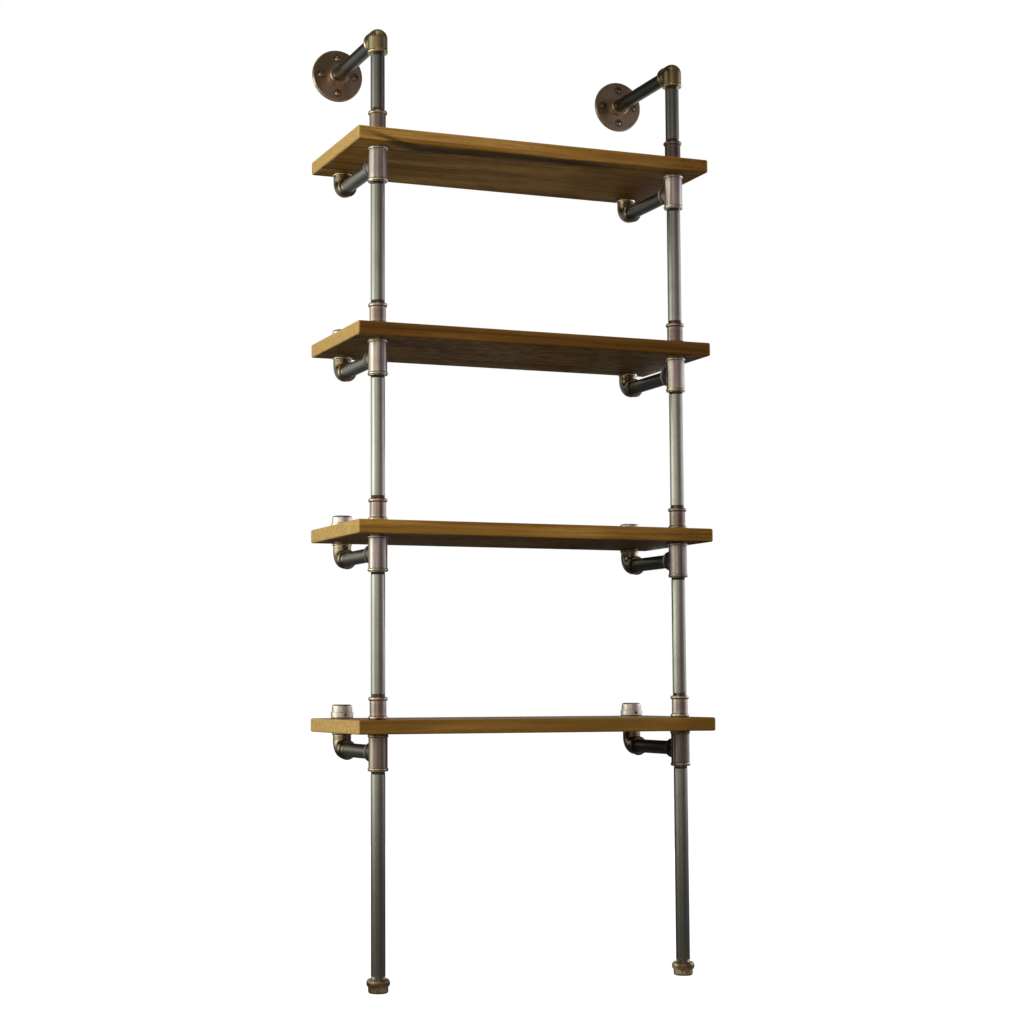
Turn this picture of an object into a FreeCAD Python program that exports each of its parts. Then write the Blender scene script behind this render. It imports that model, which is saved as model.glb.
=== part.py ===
import FreeCAD, Part
import math
import os
import Sketcher
from FreeCAD import Rotation, Vector

# Wall-mounted shelving unit: four boards carried by two uprights of threaded pipe.
#
# Each upright stands on the floor on a pipe cap and rises from board to board: a tee under the
# board, a nipple through it, a coupling on top of it, then the next pipe. Behind each tee a
# bracket pipe runs back to an elbow, and a second nipple and a cap clamp the board there. Above
# the highest board an elbow turns the upright back to a round flange screwed to the wall.
#
# Frame, in millimetres: X to the right along the boards, +Y towards the wall, +Z up. The origin
# lies on the wall, midway between the flanges and at the height of their centres.

DIMENSIONS = {
    # boards
    "shelf_length": 730,        # along X
    "shelf_depth": 290,         # along Y
    "shelf_thick": 26,
    "shelf_edge_round": 3.5,    # eased edges
    "shelf_pitch": 366,         # from one board's top to the next
    "lowest_shelf": 494,        # floor to the lowest board's top
    "board_hole_od": 27.4,      # hole through a board for a nipple
    # layout
    "upright_spacing": 622,     # between the axes of the left and right uprights
    "front_overhang": 46,       # upright axis to the board's front edge
    "wall_distance": 247,       # upright axis to the wall
    "rear_distance": 211,       # upright axis to the axis of the rear elbows
    "flange_height": 1773,      # floor to the flanges' centres
    # pipe
    "pipe_od": 26.7,
    "pipe_wall": 2.9,
    "thread_depth": 13,         # length of pipe held inside a fitting
    "thread_pitch": 1.8,
    "thread_cut": 0.6,          # depth of the turns that show outside a fitting
    # tees and elbows
    "fitting_od": 35.4,
    "bead_od": 38.6,            # rounded band at each mouth
    "bead_width": 7,
    "tee_run": 68,              # end to end
    "tee_branch": 32,           # centre to the branch's mouth
    "branch_od": 34.6,          # branch, a little slimmer than the run
    "tee_neck_round": 7,        # between run and branch
    "rear_elbow_bend": 18,      # bend radius of the rear elbows' axis
    "top_elbow_od": 37.4,
    "top_elbow_bead_od": 39.2,
    "top_elbow_reach": 28,      # centre to each mouth
    # couplings
    "coupling_length": 42,
    "coupling_od": 30.8,
    "coupling_bead_od": 36.4,
    "coupling_bead_width": 7.5,
    # caps under the uprights
    "foot_cap_height": 25.5,
    "foot_cap_od": 37,
    "foot_cap_band_od": 43.5,   # rounded band at the mouth
    "foot_cap_band": 14.5,      # its width
    "foot_cap_round": 4,        # round at the closed end
    # caps on the boards
    "rear_cap_height": 26.5,
    "rear_cap_od": 39.6,
    "rear_cap_skirt_od": 43.6,  # stepped skirt at the mouth
    "rear_cap_skirt": 12.5,     # its height
    "rear_cap_round": 5,        # round at the closed end
    # inside both kinds of cap
    "cap_floor": 6,             # thickness of the closed end
    "cap_relief_od": 22,        # clear space beyond the thread
    # wall flanges
    "flange_od": 104,
    "flange_thick": 6,
    "flange_rim_round": 2.5,
    "hub_height": 18,           # wall to the hub's mouth
    "hub_lip": 4,               # stop behind the wall pipe
    "screw_circle": 70,
    # wall screws
    "screw_od": 4.8,            # over the thread, which starts behind the flange
    "screw_neck_od": 3.6,       # plain neck inside the flange
    "screw_reach": 30,          # length beyond the flange
    "screw_point": 7,
    "screw_head_od": 12,
    "screw_head_dome": 2.6,
    "screw_head_sink": 0.8,     # head's rim below the flange's face
    "screw_hole_od": 5.2,
    "countersink_od": 13.6,
    "recess_width": 1.3,        # cross recess in the head
    "recess_span": 6.6,
    "recess_depth": 1.9,
    # set screws in the rear caps
    "set_screw_od": 5,
    "set_screw_length": 5,
    "set_screw_height": 7,      # above the cap's mouth
    "hex_key": 2.5,             # across flats
    "hex_depth": 2.5,
}

LEVELS = 4                      # boards, numbered 1 at the top to 4 at the bottom
THREAD_TURNS = 3                # turns that show at each end of a pipe
SIDES = {"left": -1, "right": 1}
LINE_END = 2                    # how a sketch counts the end of a line and
CENTRE = 3                      # the centre of a circle

doc = FreeCAD.newDocument("pipe_shelving_unit")
sheet = doc.addObject("Spreadsheet::Sheet", "Dims")
for row, (alias, value) in enumerate(DIMENSIONS.items(), start=1):
    sheet.set(f"A{row}", alias.replace("_", " "))
    sheet.set(f"B{row}", str(value))
    sheet.setAlias(f"B{row}", alias)
doc.recompute()

# Formulas on the sheet's cells that several pieces share.
PIPE_R = "Dims.pipe_od / 2"
BORE_R = "(Dims.pipe_od / 2 - Dims.pipe_wall)"
FITTING_R = "Dims.fitting_od / 2"
BEAD_R = "Dims.bead_od / 2"
REAR_REACH = "Dims.tee_run / 2"
UPRIGHT_Y = "-Dims.wall_distance"
REAR_Y = "(Dims.rear_distance - Dims.wall_distance)"
FLOOR_Z = "-Dims.flange_height"

TOWARDS_WALL = Rotation(Vector(1, 0, 0), -90)      # turns +Z to +Y
TOWARDS_ROOM = Rotation(Vector(1, 0, 0), 90)       # turns +Z to -Y
UPSIDE_DOWN = Rotation(Vector(1, 0, 0), 180)
UPRIGHT = Rotation()

sub_parts = []


def value_of(formula):
    """Present value of a formula on the sheet's cells."""
    result = sheet.evalExpression(formula)
    return float(getattr(result, "Value", result))


def shelf_top(level):
    return f"({FLOOR_Z} + Dims.lowest_shelf + {LEVELS - level} * Dims.shelf_pitch)"


def shelf_underside(level):
    return f"({shelf_top(level)} - Dims.shelf_thick)"


def bracket_z(level):
    """Height of the tee's branch, the bracket pipe and the rear elbow's mouth."""
    return f"({shelf_underside(level)} - {REAR_REACH})"


def upright_x(side):
    return f"{SIDES[side]} * Dims.upright_spacing / 2"


def place(piece, x="0", y="0", z="0", turn=UPRIGHT):
    """Turn a piece about its own origin and bind its position to formulas."""
    piece.Placement = FreeCAD.Placement(Vector(), turn)
    for axis, formula in zip("xyz", (x, y, z)):
        if formula != "0":
            piece.setExpression(f"Placement.Base.{axis}", formula)
    return piece


def solid(kind, name, sizes, turn=UPRIGHT, **position):
    """A Part primitive with its sizes bound to formulas."""
    piece = doc.addObject(f"Part::{kind}", name)
    for size, formula in sizes.items():
        piece.setExpression(size, formula)
    return place(piece, turn=turn, **position)


def cylinder(name, radius, height, **where):
    return solid("Cylinder", name, {"Radius": radius, "Height": height}, **where)


def fuse(name, pieces):
    whole = doc.addObject("Part::MultiFuse", name)
    whole.Shapes = pieces
    whole.Refine = True
    return whole


def cut(name, base, tool):
    rest = doc.addObject("Part::Cut", name)
    rest.Base = base
    rest.Tool = tool
    rest.Refine = True
    return rest


def group(name, pieces):
    """Separate solids that share one node."""
    whole = doc.addObject("Part::Compound", name)
    whole.Links = pieces
    return whole


def sub_part(piece, label):
    piece.Label = label
    sub_parts.append(piece)
    return piece


def arch_radius(span, rise):
    """Radius of an arc over a span with a given rise."""
    return f"(({span})^2 / (8 * ({rise})) + ({rise}) / 2)"


def sketch_on(body, plane_role, name):
    """An empty sketch on one of a body's own planes."""
    sketch = body.newObject("Sketcher::SketchObject", name)
    plane = [item for item in body.Origin.OriginFeatures if item.Role == plane_role][0]
    sketch.AttachmentSupport = [(plane, "")]
    sketch.MapMode = "FlatFace"
    return sketch


def lathe(name, outline):
    """A body turned about Z from an outline of (radius, height) formulas.

    The outline runs outwards along the bottom, up the outside and back. A third entry is the
    radius of a convex arc that leads to that point in place of a straight line.
    """
    body = doc.addObject("PartDesign::Body", name)
    sketch = sketch_on(body, "XZ_Plane", name + "_outline")
    corners = [Vector(value_of(point[0]), value_of(point[1]), 0) for point in outline]
    for index, point in enumerate(outline):
        start = corners[index - 1]
        end = corners[index]
        if len(point) == 3:
            sketch.addGeometry(convex_arc(start, end, value_of(point[2])), False)
        else:
            sketch.addGeometry(Part.LineSegment(start, end), False)
    count = len(outline)
    for index in range(count):
        sketch.addConstraint(Sketcher.Constraint("Coincident", index, 2, (index + 1) % count, 1))
    for index, point in enumerate(outline):
        pin_point(sketch, index, LINE_END, "X", -2, point[0])
        pin_point(sketch, index, LINE_END, "Y", -1, point[1])
        if len(point) == 3:
            radius = Sketcher.Constraint("Radius", index, value_of(point[2]))
            sketch.setExpression(f"Constraints[{sketch.addConstraint(radius)}]", point[2])
    turned = body.newObject("PartDesign::Revolution", name + "_turned")
    turned.Profile = sketch
    turned.ReferenceAxis = (sketch, ["V_Axis"])
    turned.Angle = 360
    body.Tip = turned
    return body


def pin_point(sketch, index, point, direction, zero_axis, formula):
    """Hold a point of one sketched line on an axis, or at a distance from the origin."""
    if formula == "0":
        sketch.addConstraint(Sketcher.Constraint("PointOnObject", index, point, zero_axis))
        return
    held = Sketcher.Constraint("Distance" + direction, -1, 1, index, point, value_of(formula))
    sketch.setExpression(f"Constraints[{sketch.addConstraint(held)}]", formula)


def convex_arc(start, end, radius):
    chord = end - start
    middle = (start + end) * 0.5
    inwards = Vector(-chord.y, chord.x, 0).normalize()
    centre = middle + inwards * math.sqrt(max(radius ** 2 - (chord.Length / 2) ** 2, 0))
    first = math.atan2(start.y - centre.y, start.x - centre.x)
    last = math.atan2(end.y - centre.y, end.x - centre.x)
    circle = Part.Circle(centre, Vector(0, 0, 1), radius)
    return Part.ArcOfCircle(circle, first, last)


def shelf(level):
    """A board with eased edges and a hole for each of its four nipples."""
    name = f"shelf_{level}"
    body = doc.addObject("PartDesign::Body", name + "_body")
    sketch = sketch_on(body, "XY_Plane", name + "_outline")
    half_length = "Dims.shelf_length / 2"
    front = "-Dims.front_overhang"
    back = "(Dims.shelf_depth - Dims.front_overhang)"
    corners = [("-" + half_length, front), (half_length, front),
               (half_length, back), ("-" + half_length, back)]
    points = [Vector(value_of(x), value_of(y), 0) for x, y in corners]
    for index in range(4):
        sketch.addGeometry(Part.LineSegment(points[index - 1], points[index]), False)
    for index in range(4):
        sketch.addConstraint(Sketcher.Constraint("Coincident", index, 2, (index + 1) % 4, 1))
    for index, (x, y) in enumerate(corners):
        pin_point(sketch, index, LINE_END, "X", -2, x)
        pin_point(sketch, index, LINE_END, "Y", -1, y)
    pad = body.newObject("PartDesign::Pad", name + "_pad")
    pad.Profile = sketch
    pad.setExpression("Length", "Dims.shelf_thick")
    doc.recompute()
    eased = body.newObject("PartDesign::Fillet", name + "_eased")
    edges = [f"Edge{number}" for number in range(1, len(pad.Shape.Edges) + 1)]
    eased.Base = (pad, edges)
    eased.setExpression("Radius", "Dims.shelf_edge_round")
    holes = sketch_on(body, "XY_Plane", name + "_holes")
    for side in SIDES:
        for y in ("0", "Dims.rear_distance"):
            pin_circle(holes, upright_x(side), y, "Dims.board_hole_od / 2")
    drilled = body.newObject("PartDesign::Pocket", name + "_drilled")
    drilled.Profile = holes
    drilled.Type = "ThroughAll"
    drilled.Midplane = True
    body.Tip = drilled
    return place(body, y=UPRIGHT_Y, z=shelf_underside(level))


def pin_circle(sketch, x, y, radius):
    """A circle whose centre and radius are bound to formulas."""
    circle = Part.Circle(Vector(value_of(x), value_of(y), 0), Vector(0, 0, 1), value_of(radius))
    index = sketch.addGeometry(circle, False)
    pin_point(sketch, index, CENTRE, "X", -2, x)
    pin_point(sketch, index, CENTRE, "Y", -1, y)
    round_size = Sketcher.Constraint("Radius", index, value_of(radius))
    sketch.setExpression(f"Constraints[{sketch.addConstraint(round_size)}]", radius)


def pipe(name, length):
    """A pipe along +Z with a few turns of thread showing beyond each fitting."""
    root = f"({PIPE_R} - Dims.thread_cut)"
    turns = []
    for turn in range(THREAD_TURNS):
        turns.append((root, f"Dims.thread_depth + {turn + 0.5} * Dims.thread_pitch"))
        turns.append((PIPE_R, f"Dims.thread_depth + {turn + 1} * Dims.thread_pitch"))
    lower = [(PIPE_R, "0"), (PIPE_R, "Dims.thread_depth")] + turns
    upper = [(radius, length if height == "0" else f"{length} - ({height})")
             for radius, height in reversed(lower)]
    return lathe(name, [(BORE_R, "0")] + lower + upper + [(BORE_R, length)])


def nipple(name):
    """A short plain tube that ties two fittings together through a board."""
    length = "(Dims.shelf_thick + 2 * Dims.thread_depth)"
    outside = cylinder(name + "_outside", PIPE_R, length)
    bore = cylinder(name + "_bore", BORE_R, length)
    return cut(name, outside, bore)


def bead(name, reach, radius, **turned):
    """A rounded band round the mouth of an arm of a tee or elbow."""
    minor = "Dims.bead_width / 2"
    ring = solid("Torus", name + "_ring", {"Radius1": f"{radius} - {minor}", "Radius2": minor},
                 z=f"{reach} - {minor}")
    return place(group(name, [ring]), **turned)


def way_in(name, reach, **turned):
    """The space inside an arm: its bore, and the socket for a pipe at its mouth."""
    bore = cylinder(name + "_bore", BORE_R, reach)
    socket = cylinder(name + "_socket", PIPE_R, "Dims.thread_depth",
                      z=f"{reach} - Dims.thread_depth")
    return place(fuse(name, [bore, socket]), **turned)


def round_pad(body, name, plane_role, radius, length):
    """A round bar grown from one of a body's planes."""
    sketch = sketch_on(body, plane_role, name + "_circle")
    pin_circle(sketch, "0", "0", radius)
    bar = body.newObject("PartDesign::Pad", name)
    bar.Profile = sketch
    bar.setExpression("Length", length)
    return bar


def tee_body(name):
    """The outside of a tee without its beads: run, branch and the round between them."""
    body = doc.addObject("PartDesign::Body", name)
    run = round_pad(body, name + "_run", "XY_Plane", FITTING_R, "Dims.tee_run")
    run.Midplane = True
    branch = round_pad(body, name + "_branch", "XZ_Plane", "Dims.branch_od / 2",
                       "Dims.tee_branch")
    branch.Reversed = True
    doc.recompute()
    saddle = [f"Edge{number}" for number, edge in enumerate(branch.Shape.Edges, start=1)
              if edge.Curve.TypeId == "Part::GeomBSplineCurve"]
    neck = body.newObject("PartDesign::Fillet", name + "_neck")
    neck.Base = (branch, saddle)
    neck.setExpression("Radius", "Dims.tee_neck_round")
    body.Tip = neck
    return body


def tee(name):
    """Run along Z through the centre, branch towards +Y."""
    half_run = "Dims.tee_run / 2"
    arms = {"up": (half_run, UPRIGHT), "down": (half_run, UPSIDE_DOWN),
            "branch": ("Dims.tee_branch", TOWARDS_WALL)}
    outside = [tee_body(name + "_outside")]
    inside = []
    for arm, (reach, turn) in arms.items():
        outside.append(bead(f"{name}_{arm}_bead", reach, BEAD_R, turn=turn))
        inside.append(way_in(f"{name}_{arm}_way", reach, turn=turn))
    return cut(name, fuse(name + "_beaded", outside), fuse(name + "_inside", inside))


def bend(name, axis_radius, radius):
    """A quarter of a ring that joins an arm from -Z to an arm towards +Y."""
    turn = Rotation(Vector(0, -1, 0), Vector(0, 0, 1), Vector(-1, 0, 0), "XYZ")
    quarter = solid("Torus", name, {"Radius1": axis_radius, "Radius2": radius},
                    y=axis_radius, z="-" + axis_radius, turn=turn)
    quarter.Angle3 = 90
    return quarter


def elbow(name, reach, axis_radius, outer_r, bead_r):
    """One mouth towards -Z and one towards +Y, at the same reach from the centre."""
    straight = f"({reach} - {axis_radius})"
    arms = {"below": {"z": "-" + axis_radius, "turn": UPSIDE_DOWN},
            "behind": {"y": axis_radius, "turn": TOWARDS_WALL}}
    outside = [bend(name + "_outside", axis_radius, outer_r)]
    inside = [bend(name + "_inside", axis_radius, BORE_R)]
    for arm, where in arms.items():
        outside.append(cylinder(f"{name}_{arm}_arm", outer_r, straight, **where))
        outside.append(bead(f"{name}_{arm}_bead", straight, bead_r, **where))
        inside.append(way_in(f"{name}_{arm}_way", straight, **where))
    return cut(name, fuse(name + "_beaded", outside), fuse(name + "_hollow", inside))


def ball_elbow(name, reach, outer_r, bead_r):
    """An elbow like the other, but its arms meet in a ball."""
    outside = [solid("Sphere", name + "_ball", {"Radius": outer_r})]
    inside = [solid("Sphere", name + "_hollow_ball", {"Radius": BORE_R})]
    for arm, turn in (("below", UPSIDE_DOWN), ("behind", TOWARDS_WALL)):
        outside.append(cylinder(f"{name}_{arm}_arm", outer_r, reach, turn=turn))
        outside.append(bead(f"{name}_{arm}_bead", reach, bead_r, turn=turn))
        inside.append(way_in(f"{name}_{arm}_way", reach, turn=turn))
    return cut(name, fuse(name + "_beaded", outside), fuse(name + "_hollow", inside))


def coupling(name):
    """A sleeve along +Z with a bead at each end and a stop between its two sockets."""
    body_r = "Dims.coupling_od / 2"
    width = "Dims.coupling_bead_width"
    length = "Dims.coupling_length"
    depth = "Dims.thread_depth"
    arch = arch_radius(width, "(Dims.coupling_bead_od - Dims.coupling_od) / 2")
    return lathe(name, [
        (PIPE_R, "0"), (body_r, "0"), (body_r, width, arch),
        (body_r, f"{length} - {width}"), (body_r, length, arch), (PIPE_R, length),
        (PIPE_R, f"{length} - {depth}"), (BORE_R, f"{length} - {depth}"),
        (BORE_R, depth), (PIPE_R, depth)])


def cap(name, kind, band):
    """A pipe cap with its mouth at Z = 0 and its closed end up.

    The band is the part of its outline that runs from the mouth's rim to the plain body.
    """
    body_r = f"Dims.{kind}_od / 2"
    relief_r = "Dims.cap_relief_od / 2"
    height = f"Dims.{kind}_height"
    depth = "Dims.thread_depth"
    ceiling = f"{height} - Dims.cap_floor"
    round_r = f"Dims.{kind}_round"
    return lathe(name, [(PIPE_R, "0")] + band + [
        (body_r, f"{height} - {round_r}"), (f"{body_r} - {round_r}", height, round_r),
        ("0", height), ("0", ceiling), (relief_r, ceiling), (relief_r, depth), (PIPE_R, depth)])


def foot_cap(name):
    """A cap with one full rounded band."""
    body_r = "Dims.foot_cap_od / 2"
    width = "Dims.foot_cap_band"
    arch = arch_radius(width, "(Dims.foot_cap_band_od - Dims.foot_cap_od) / 2")
    return cap(name, "foot_cap", [(body_r, "0"), (body_r, width, arch)])


def rear_cap(name, side, level):
    """A cap with a stepped skirt, on a board's top, drilled towards the room for its set screw."""
    body_r = "Dims.rear_cap_od / 2"
    skirt_r = "Dims.rear_cap_skirt_od / 2"
    skirt = "Dims.rear_cap_skirt"
    step = f"({skirt_r} - {body_r})"
    blank = cap(name + "_blank", "rear_cap", [
        (body_r, "0"), (skirt_r, step, step), (skirt_r, f"{skirt} - {step}"),
        (body_r, skirt, step)])
    hole = cylinder(name + "_hole", "Dims.set_screw_od / 2", "Dims.rear_cap_skirt_od",
                    z="Dims.set_screw_height", turn=TOWARDS_ROOM)
    drilled = cut(name, blank, hole)
    return place(drilled, x=upright_x(side), y=REAR_Y, z=shelf_top(level))


def set_screw(name, side, level):
    """A headless screw with a hexagon socket, bearing on the nipple inside the cap."""
    shank = cylinder(name + "_shank", "Dims.set_screw_od / 2", "Dims.set_screw_length")
    key = solid("Prism", name + "_key",
                {"Circumradius": "Dims.hex_key / sqrt(3)", "Height": "Dims.hex_depth"},
                z="Dims.set_screw_length - Dims.hex_depth")
    key.Polygon = 6
    screw = cut(name, shank, key)
    return place(screw, x=upright_x(side), y=f"{REAR_Y} - {PIPE_R}",
                 z=f"{shelf_top(level)} + Dims.set_screw_height", turn=TOWARDS_ROOM)


def around_flange(side):
    """Places of the four wall screws about a flange's centre: a turn each."""
    for quarter in range(4):
        angle = math.radians(90 * quarter)
        x = f"{upright_x(side)} + {round(math.cos(angle))} * Dims.screw_circle / 2"
        z = f"{round(math.sin(angle))} * Dims.screw_circle / 2"
        yield quarter, x, z


def wall_flange(name, side):
    """A disc on the wall with a hub for the wall pipe and four countersunk holes."""
    disc_r = "Dims.flange_od / 2"
    rim = "Dims.flange_rim_round"
    thick = "Dims.flange_thick"
    height = "Dims.hub_height"
    width = "Dims.bead_width"
    arch = arch_radius(width, f"{BEAD_R} - {FITTING_R}")
    blank = place(lathe(name + "_blank", [
        (BORE_R, "0"), (disc_r, "0"), (disc_r, f"{thick} - {rim}"),
        (f"{disc_r} - {rim}", thick, rim), (FITTING_R, thick),
        (FITTING_R, f"{height} - {width}"), (FITTING_R, height, arch), (PIPE_R, height),
        (PIPE_R, "Dims.hub_lip"), (BORE_R, "Dims.hub_lip")]),
        x=upright_x(side), turn=TOWARDS_ROOM)
    sink = "((Dims.countersink_od - Dims.screw_hole_od) / 2)"
    tools = []
    for quarter, x, z in around_flange(side):
        tool_name = f"{name}_hole_{quarter}"
        through = cylinder(tool_name + "_through", "Dims.screw_hole_od / 2", thick,
                           x=x, z=z, turn=TOWARDS_ROOM)
        cone = solid("Cone", tool_name + "_sink",
                     {"Radius1": "Dims.screw_hole_od / 2", "Radius2": "Dims.countersink_od / 2",
                      "Height": sink}, x=x, y=f"{sink} - {thick}", z=z, turn=TOWARDS_ROOM)
        tools += [through, cone]
    return cut(name, blank, fuse(name + "_holes", tools))


def wall_screw(name, x, z):
    """A countersunk screw with a domed head and a cross recess, its thread in the wall."""
    thread_r = "Dims.screw_od / 2"
    neck_r = "Dims.screw_neck_od / 2"
    head_r = "Dims.screw_head_od / 2"
    tip = "-Dims.screw_reach"
    rim = "(Dims.flange_thick - Dims.screw_head_sink)"
    top = f"({rim} + Dims.screw_head_dome)"
    blank = lathe(name + "_blank", [
        ("0", tip), (thread_r, f"{tip} + Dims.screw_point"), (thread_r, "0"), (neck_r, "0"),
        (neck_r, f"{rim} - ({head_r} - {neck_r})"), (head_r, rim),
        ("0", top, arch_radius("Dims.screw_head_od", "Dims.screw_head_dome"))])
    bars = []
    for number, turn in enumerate((0, 90)):
        bars.append(cross_bar(f"{name}_bar_{number}", top, turn))
    screw = cut(name, blank, fuse(name + "_recess", bars))
    return place(screw, x=x, z=z, turn=TOWARDS_ROOM)


def cross_bar(name, top, turn):
    """One bar of a cross recess, centred on Z."""
    length, width = "Dims.recess_span", "Dims.recess_width"
    if turn:
        length, width = width, length
    return solid("Box", name, {"Length": length, "Width": width, "Height": "Dims.recess_depth"},
                 x=f"-{length} / 2", y=f"-{width} / 2", z=f"{top} - Dims.recess_depth")


def upright_run(side, name, lower_end, upper_end):
    """A vertical pipe of an upright between two heights."""
    length = f"(({upper_end}) - ({lower_end}))"
    piece = place(pipe(name + "_pipe", length), x=upright_x(side), y=UPRIGHT_Y, z=lower_end)
    sub_part(piece, name)


def level_run(side, name, front_end, rear_end, z):
    """A horizontal pipe from an upright back towards the wall."""
    length = f"(({rear_end}) - ({front_end}))"
    piece = place(pipe(name + "_pipe", length), x=upright_x(side), y=front_end, z=z,
                  turn=TOWARDS_WALL)
    sub_part(piece, name)


def above_coupling(level):
    return f"{shelf_top(level)} + Dims.coupling_length - Dims.thread_depth"


def below_tee(level):
    return f"{shelf_underside(level)} - Dims.tee_run + Dims.thread_depth"


# The boards.
for level in range(1, LEVELS + 1):
    sub_part(shelf(level), f"shelf_{level}")

# The uprights, from the floor to the wall.
UPRIGHT_PIPES = {"lower": (4, 3), "middle": (3, 2), "upper": (2, 1)}
for side in SIDES:
    foot = place(foot_cap(f"{side}_foot"), x=upright_x(side), y=UPRIGHT_Y,
                 z=f"{FLOOR_Z} + Dims.foot_cap_height", turn=UPSIDE_DOWN)
    sub_part(foot, f"{side}_foot_cap")
    upright_run(side, f"{side}_leg_pipe",
                f"{FLOOR_Z} + Dims.foot_cap_height - Dims.thread_depth", below_tee(LEVELS))
    for part_name, (below, above) in UPRIGHT_PIPES.items():
        upright_run(side, f"{side}_upright_pipe_{part_name}",
                    above_coupling(below), below_tee(above))
    upright_run(side, f"{side}_top_pipe",
                above_coupling(1), "-Dims.top_elbow_reach + Dims.thread_depth")
    corner = place(ball_elbow(f"{side}_top_corner", "Dims.top_elbow_reach",
                              "Dims.top_elbow_od / 2", "Dims.top_elbow_bead_od / 2"),
                   x=upright_x(side), y=UPRIGHT_Y)
    sub_part(corner, f"{side}_top_elbow")
    level_run(side, f"{side}_wall_pipe",
              f"{UPRIGHT_Y} + Dims.top_elbow_reach - Dims.thread_depth", "-Dims.hub_lip", "0")
    sub_part(wall_flange(f"{side}_flange", side), f"{side}_wall_flange")

# The fittings at each board.
for side in SIDES:
    for level in range(1, LEVELS + 1):
        tag = f"{side}_{level}"
        under = place(tee(f"{side}_tee_whole_{level}"),
                      x=upright_x(side), y=UPRIGHT_Y, z=bracket_z(level))
        sub_part(under, f"{side}_tee_{level}")
        above = place(coupling(f"{side}_coupling_body_{level}"),
                      x=upright_x(side), y=UPRIGHT_Y, z=shelf_top(level))
        sub_part(above, f"{side}_coupling_{level}")
        level_run(side, f"{side}_bracket_pipe_{level}",
                  f"{UPRIGHT_Y} + Dims.tee_branch - Dims.thread_depth",
                  f"{REAR_Y} - {REAR_REACH} + Dims.thread_depth", bracket_z(level))
        corner = elbow(f"{side}_rear_corner_{level}", REAR_REACH, "Dims.rear_elbow_bend",
                       FITTING_R, BEAD_R)
        rear = place(corner, x=upright_x(side), y=REAR_Y, z=bracket_z(level), turn=UPSIDE_DOWN)
        sub_part(rear, f"{side}_rear_elbow_{level}")

# Small alike pieces, as separate solids in shared nodes.
tubes = {"front_nipples": [], "rear_nipples": []}
set_screws = []
for side in SIDES:
    caps = []
    for level in range(1, LEVELS + 1):
        for row_name, y in (("front", UPRIGHT_Y), ("rear", REAR_Y)):
            tube = place(nipple(f"{row_name}_nipple_{side}_{level}"), x=upright_x(side), y=y,
                         z=f"{shelf_underside(level)} - Dims.thread_depth")
            tubes[row_name + "_nipples"].append(tube)
        caps.append(rear_cap(f"{side}_cap_{level}", side, level))
        set_screws.append(set_screw(f"set_screw_{side}_{level}", side, level))
    sub_part(group(f"{side}_caps", caps), f"{side}_rear_caps")
for label, pieces in tubes.items():
    sub_part(group(label + "_set", pieces), label)
sub_part(group("set_screw_set", set_screws), "cap_set_screws")
screws = []
for side in SIDES:
    for quarter, x, z in around_flange(side):
        screws.append(wall_screw(f"wall_screw_{side}_{quarter}", x, z))
sub_part(group("wall_screw_set", screws), "wall_screws")

doc.recompute()

# Every feature has to be sound before anything is written.
for item in doc.Objects:
    faults = {"Invalid", "Error"} & set(item.State)
    if faults:
        raise RuntimeError(f"{item.Name} is {sorted(faults)}")
for item in sub_parts:
    if item.Shape.isNull() or not item.Shape.isValid():
        raise RuntimeError(f"{item.Label} has no valid shape")

os.makedirs("parts", exist_ok=True)
for item in sub_parts:
    item.Shape.exportStep(f"parts/{item.Label}.step")
    print(f"{item.Label}: {len(item.Shape.Solids)} solids, {item.Shape.Volume / 1000:.1f} cm3")
print(len(sub_parts), "sub-parts")
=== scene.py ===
# %% [markdown]
# # A pipe shelving unit
#
# Four oiled boards hang on two uprights of threaded pipe. Each upright stands on a pipe cap and
# turns back at the top to a round flange on the wall. The solids come finished from the CAD
# model, so this notebook leaves their shapes alone. It gives every one the finish that the real
# piece has, with some light and shade painted into the colours, cuts the threads of the wall
# screws, and lights the unit softly.

# %% Load the solids
import math

import bpy
from mathutils import Matrix, Vector


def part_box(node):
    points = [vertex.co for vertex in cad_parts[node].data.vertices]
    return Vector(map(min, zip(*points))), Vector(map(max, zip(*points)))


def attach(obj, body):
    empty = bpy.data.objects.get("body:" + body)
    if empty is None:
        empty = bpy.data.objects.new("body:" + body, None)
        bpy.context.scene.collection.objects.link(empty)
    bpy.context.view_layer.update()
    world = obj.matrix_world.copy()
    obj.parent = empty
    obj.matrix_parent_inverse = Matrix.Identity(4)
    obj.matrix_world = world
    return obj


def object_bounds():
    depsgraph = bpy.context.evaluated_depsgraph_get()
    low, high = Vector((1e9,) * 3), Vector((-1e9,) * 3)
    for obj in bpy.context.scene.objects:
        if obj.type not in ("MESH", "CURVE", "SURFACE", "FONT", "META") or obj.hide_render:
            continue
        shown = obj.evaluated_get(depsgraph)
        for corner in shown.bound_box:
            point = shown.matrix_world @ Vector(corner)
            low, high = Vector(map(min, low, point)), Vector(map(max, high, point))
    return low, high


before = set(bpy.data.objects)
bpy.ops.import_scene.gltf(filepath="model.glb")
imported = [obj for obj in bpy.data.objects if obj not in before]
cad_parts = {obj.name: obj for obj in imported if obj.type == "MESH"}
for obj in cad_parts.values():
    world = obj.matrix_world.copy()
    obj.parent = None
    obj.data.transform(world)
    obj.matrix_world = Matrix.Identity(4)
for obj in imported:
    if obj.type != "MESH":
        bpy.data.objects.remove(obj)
solids_low, solids_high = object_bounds()
floor_z = solids_low.z
print(len(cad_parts), "nodes,", round(solids_high.z - floor_z, 3), "m high")

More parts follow.
